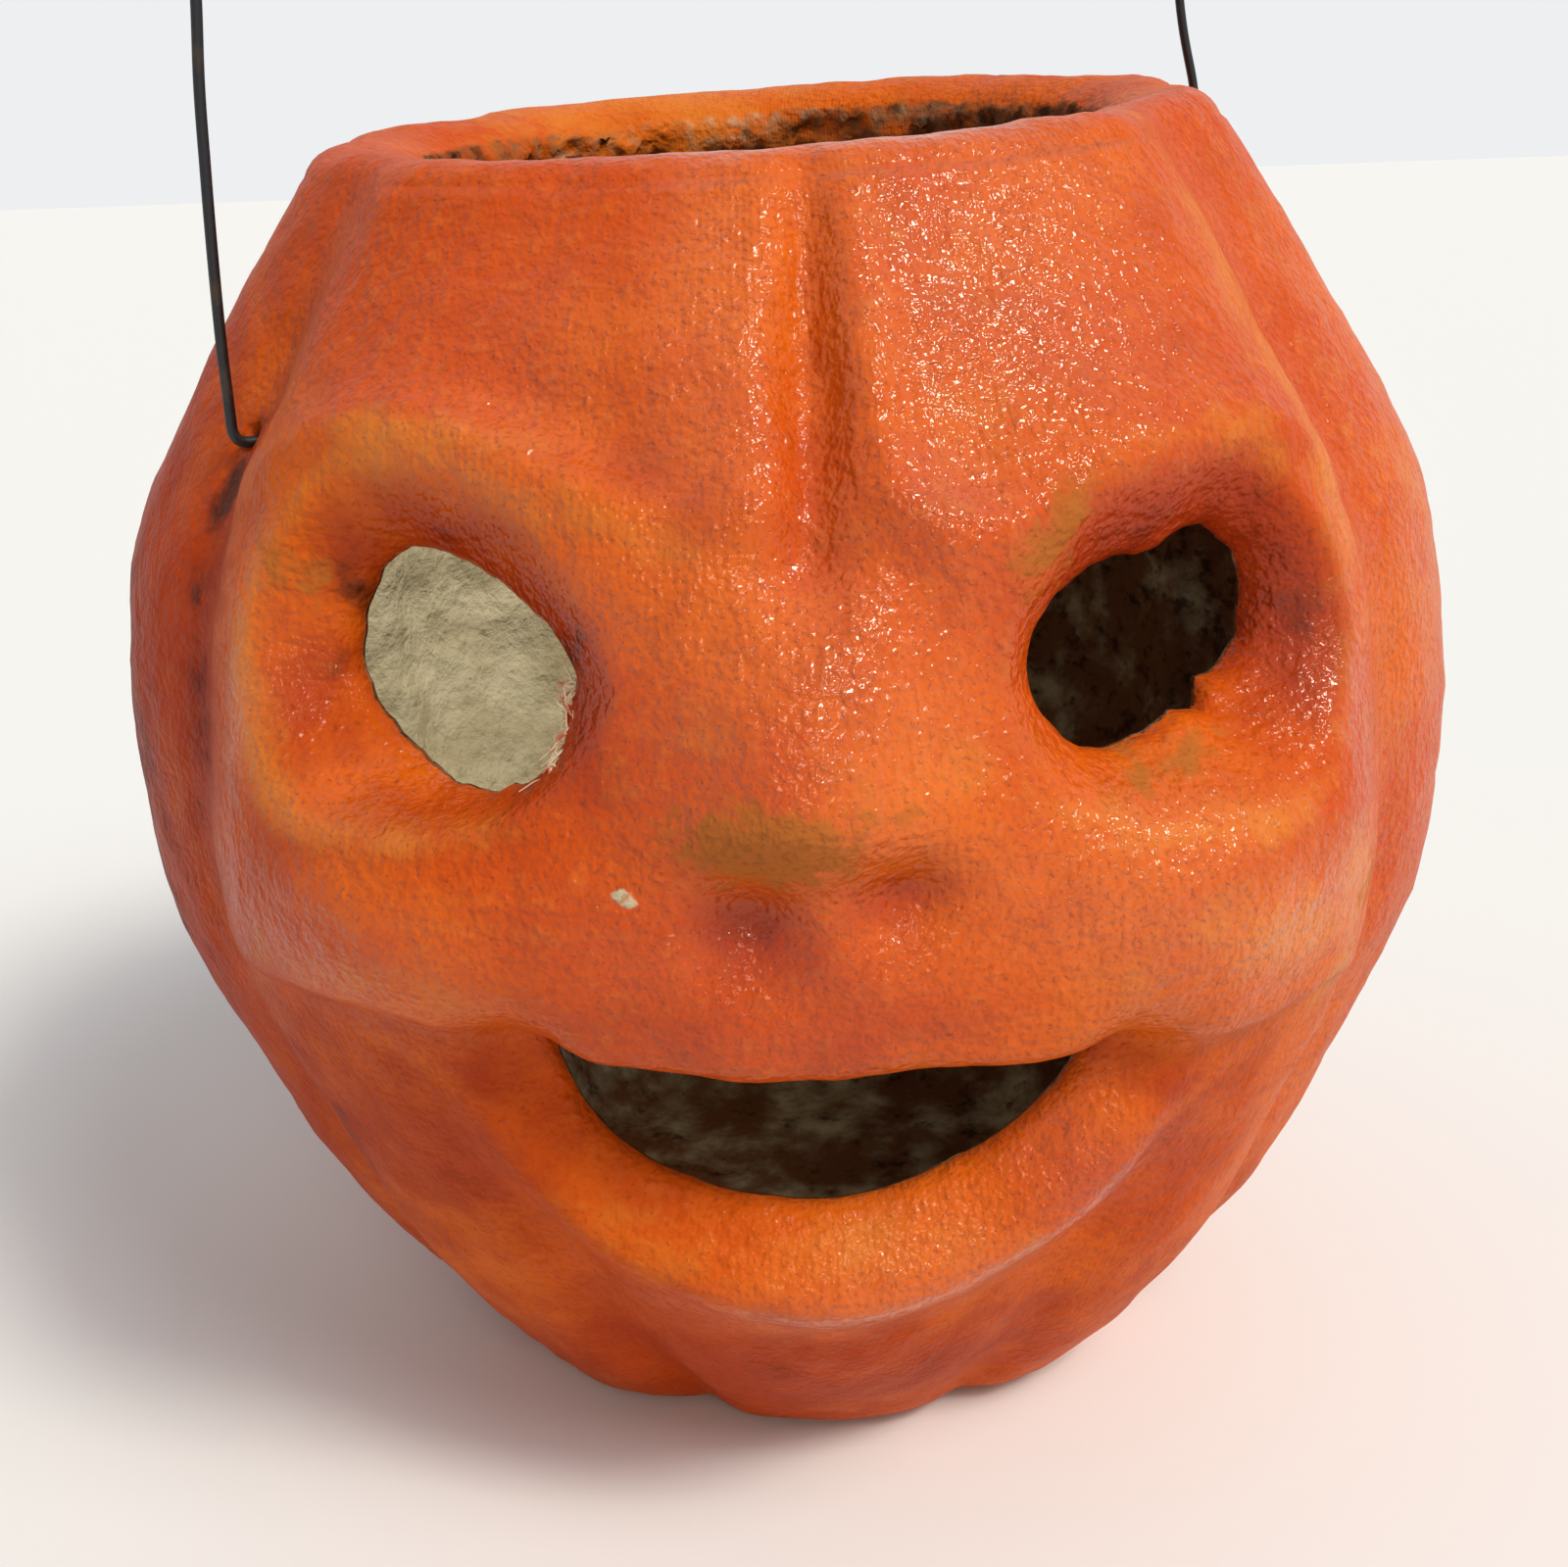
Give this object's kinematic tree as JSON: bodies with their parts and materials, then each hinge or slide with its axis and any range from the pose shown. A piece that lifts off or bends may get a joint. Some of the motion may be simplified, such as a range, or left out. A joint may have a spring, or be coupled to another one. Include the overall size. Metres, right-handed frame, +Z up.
{
  "type": "paper mache jack-o-lantern",
  "caption": "Round moulded paper pulp jack-o-lantern, open at the top, with a cut-out grinning face, lobed sides, a flat foot and a swinging wire bail.",
  "frame": {"origin": "centre of the flat face that the lantern rests on", "axes": "+Z up, the face looks towards -Y, +X is to the right of someone who looks at the face"},
  "size_m": [0.1288, 0.136, 0.189],
  "materials": {
    "painted_pulp": "thin orange lacquer over moulded paper pulp with a cloth-like forming pattern, worn to brown pulp in places, raw grey pulp inside",
    "bail_wire": "dark oxidised steel wire"
  },
  "bodies": {
    "lantern": {"pulp_shell": "painted_pulp"},
    "bail": {"wire_bail": "bail_wire"}
  },
  "joints": [
    {"name": "bail_swing", "type": "hinge", "parent": "lantern", "child": "bail", "pos_m": [-0.00183, 0, 0.0993], "axis": [-0.829, -0.5592, 0], "range_deg": [-62, 62]}
  ]
}
